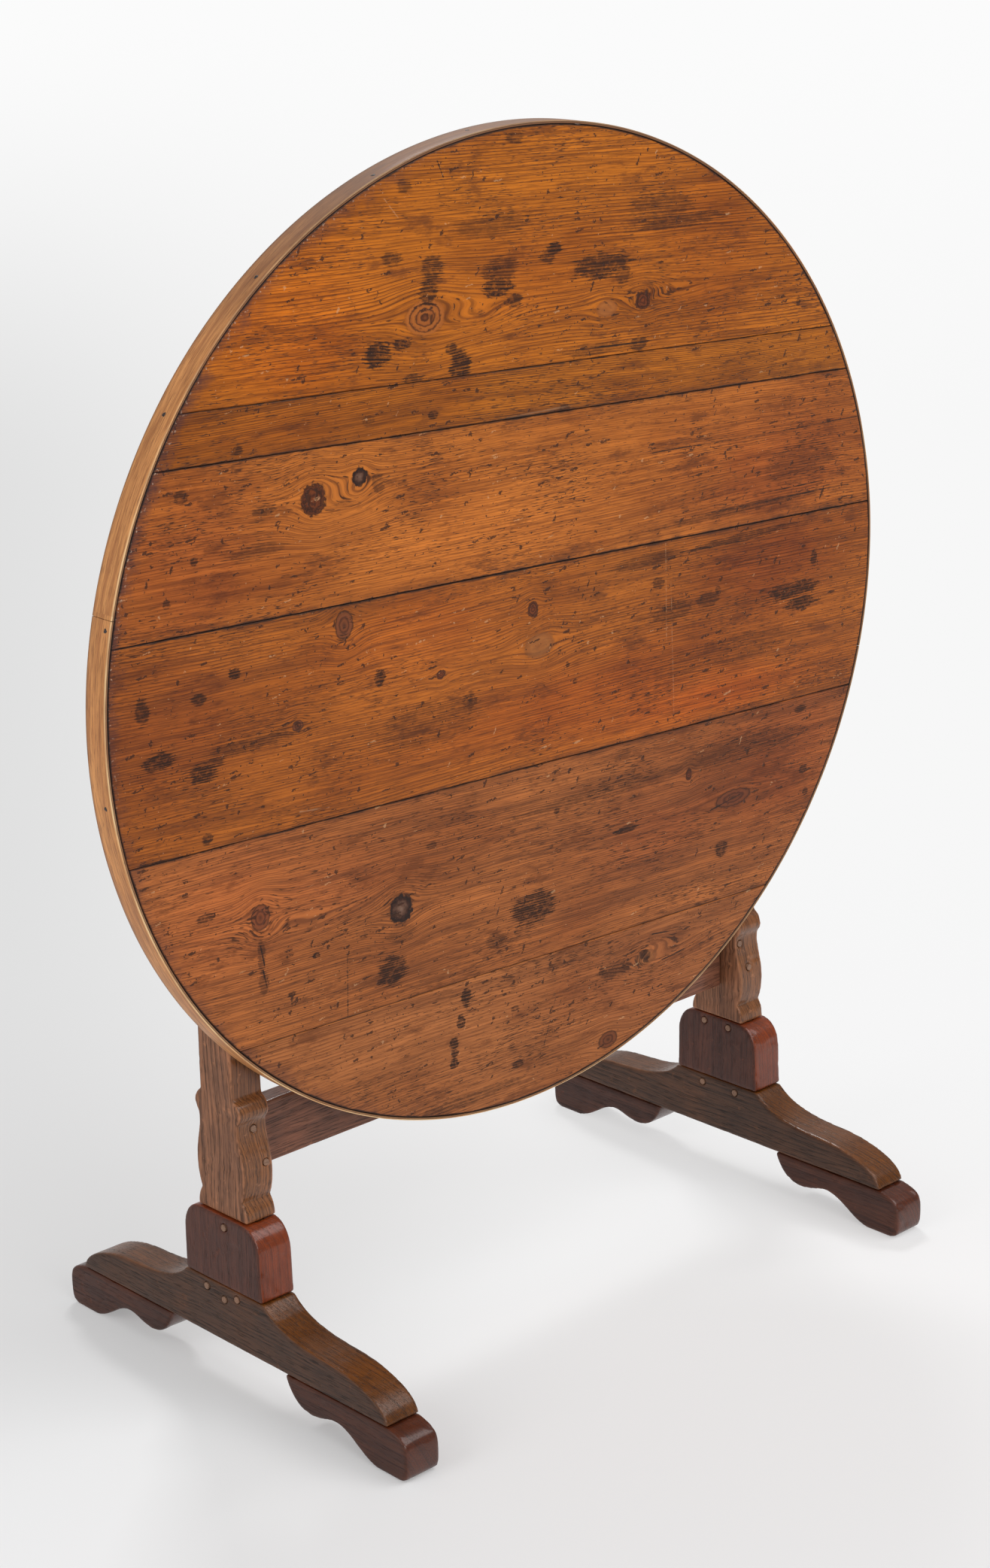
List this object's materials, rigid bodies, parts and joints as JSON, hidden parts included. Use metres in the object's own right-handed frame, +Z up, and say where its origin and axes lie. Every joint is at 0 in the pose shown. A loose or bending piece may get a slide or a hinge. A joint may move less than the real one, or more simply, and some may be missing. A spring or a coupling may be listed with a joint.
{
  "type": "tilt top table",
  "caption": "Round pine table top that tilts upright on scrolled oak standards, over block and trestle feet joined by a stretcher.",
  "frame": {"origin": "on the floor, midway between the trestles and midway between the front and rear feet", "axes": "+X runs along the stretcher to the table's right as its upright face is looked at, +Z is up, and the tilted top faces -Y"},
  "size_m": [0.9998, 0.5136, 1.164],
  "materials": {
    "waxed_pine": "waxed old pine, honey to red-brown",
    "batten_pine": "dry, unpolished pine",
    "edging": "pale bent strip, waxed",
    "oak": "dark old oak, waxed, with open grain",
    "mahogany": "dark red-brown, waxed",
    "peg_wood": "dry end grain",
    "turned_wood": "turned beech, worn smooth",
    "iron": "dark iron nails"
  },
  "bodies": {
    "stand": {"left_beam_peg_1": "peg_wood", "left_beam_peg_2": "peg_wood", "left_beam_peg_3": "peg_wood", "left_block": "mahogany", "left_block_peg_1": "peg_wood", "left_foot_beam": "oak", "left_front_pad": "mahogany", "left_front_pad_nail_1": "iron", "left_front_pad_nail_2": "iron", "left_rear_pad": "mahogany", "left_rear_pad_nail_1": "iron", "left_rear_pad_nail_2": "iron", "left_standard": "oak", "left_stretcher_peg_1": "peg_wood", "left_stretcher_peg_2": "peg_wood", "right_beam_peg_1": "peg_wood", "right_beam_peg_2": "peg_wood", "right_block": "mahogany", "right_block_peg_1": "peg_wood", "right_block_peg_2": "peg_wood", "right_foot_beam": "oak", "right_front_pad": "mahogany", "right_front_pad_nail_1": "iron", "right_front_pad_nail_2": "iron", "right_rear_pad": "mahogany", "right_rear_pad_nail_1": "iron", "right_rear_pad_nail_2": "iron", "right_standard": "oak", "right_stretcher_peg_1": "peg_wood", "right_stretcher_peg_2": "peg_wood", "stretcher": "oak"},
    "top": {"left_batten": "batten_pine", "left_batten_nail_1": "iron", "left_batten_nail_2": "iron", "left_batten_nail_3": "iron", "left_batten_nail_4": "iron", "left_batten_nail_5": "iron", "left_pivot_pin": "turned_wood", "lower_edging": "edging", "right_batten": "batten_pine", "right_batten_nail_1": "iron", "right_batten_nail_2": "iron", "right_batten_nail_3": "iron", "right_batten_nail_4": "iron", "right_batten_nail_5": "iron", "right_pivot_pin": "turned_wood", "top_board_1": "waxed_pine", "top_board_2": "waxed_pine", "top_board_3": "waxed_pine", "top_board_4": "waxed_pine", "top_board_5": "waxed_pine", "top_board_6": "waxed_pine", "upper_edging": "edging"},
    "locking_peg": {"locking_peg": "turned_wood"}
  },
  "joints": [
    {"name": "top_tilt", "type": "hinge", "parent": "stand", "child": "top", "pos_m": [0, 0, 0.6843], "axis": [-1, 0, 0], "range_deg": [0, 91.43]},
    {"name": "locking_peg_slide", "type": "slide", "parent": "top", "child": "locking_peg", "axis": [-1, 0, 0], "range_m": [0, 0.0355]}
  ]
}
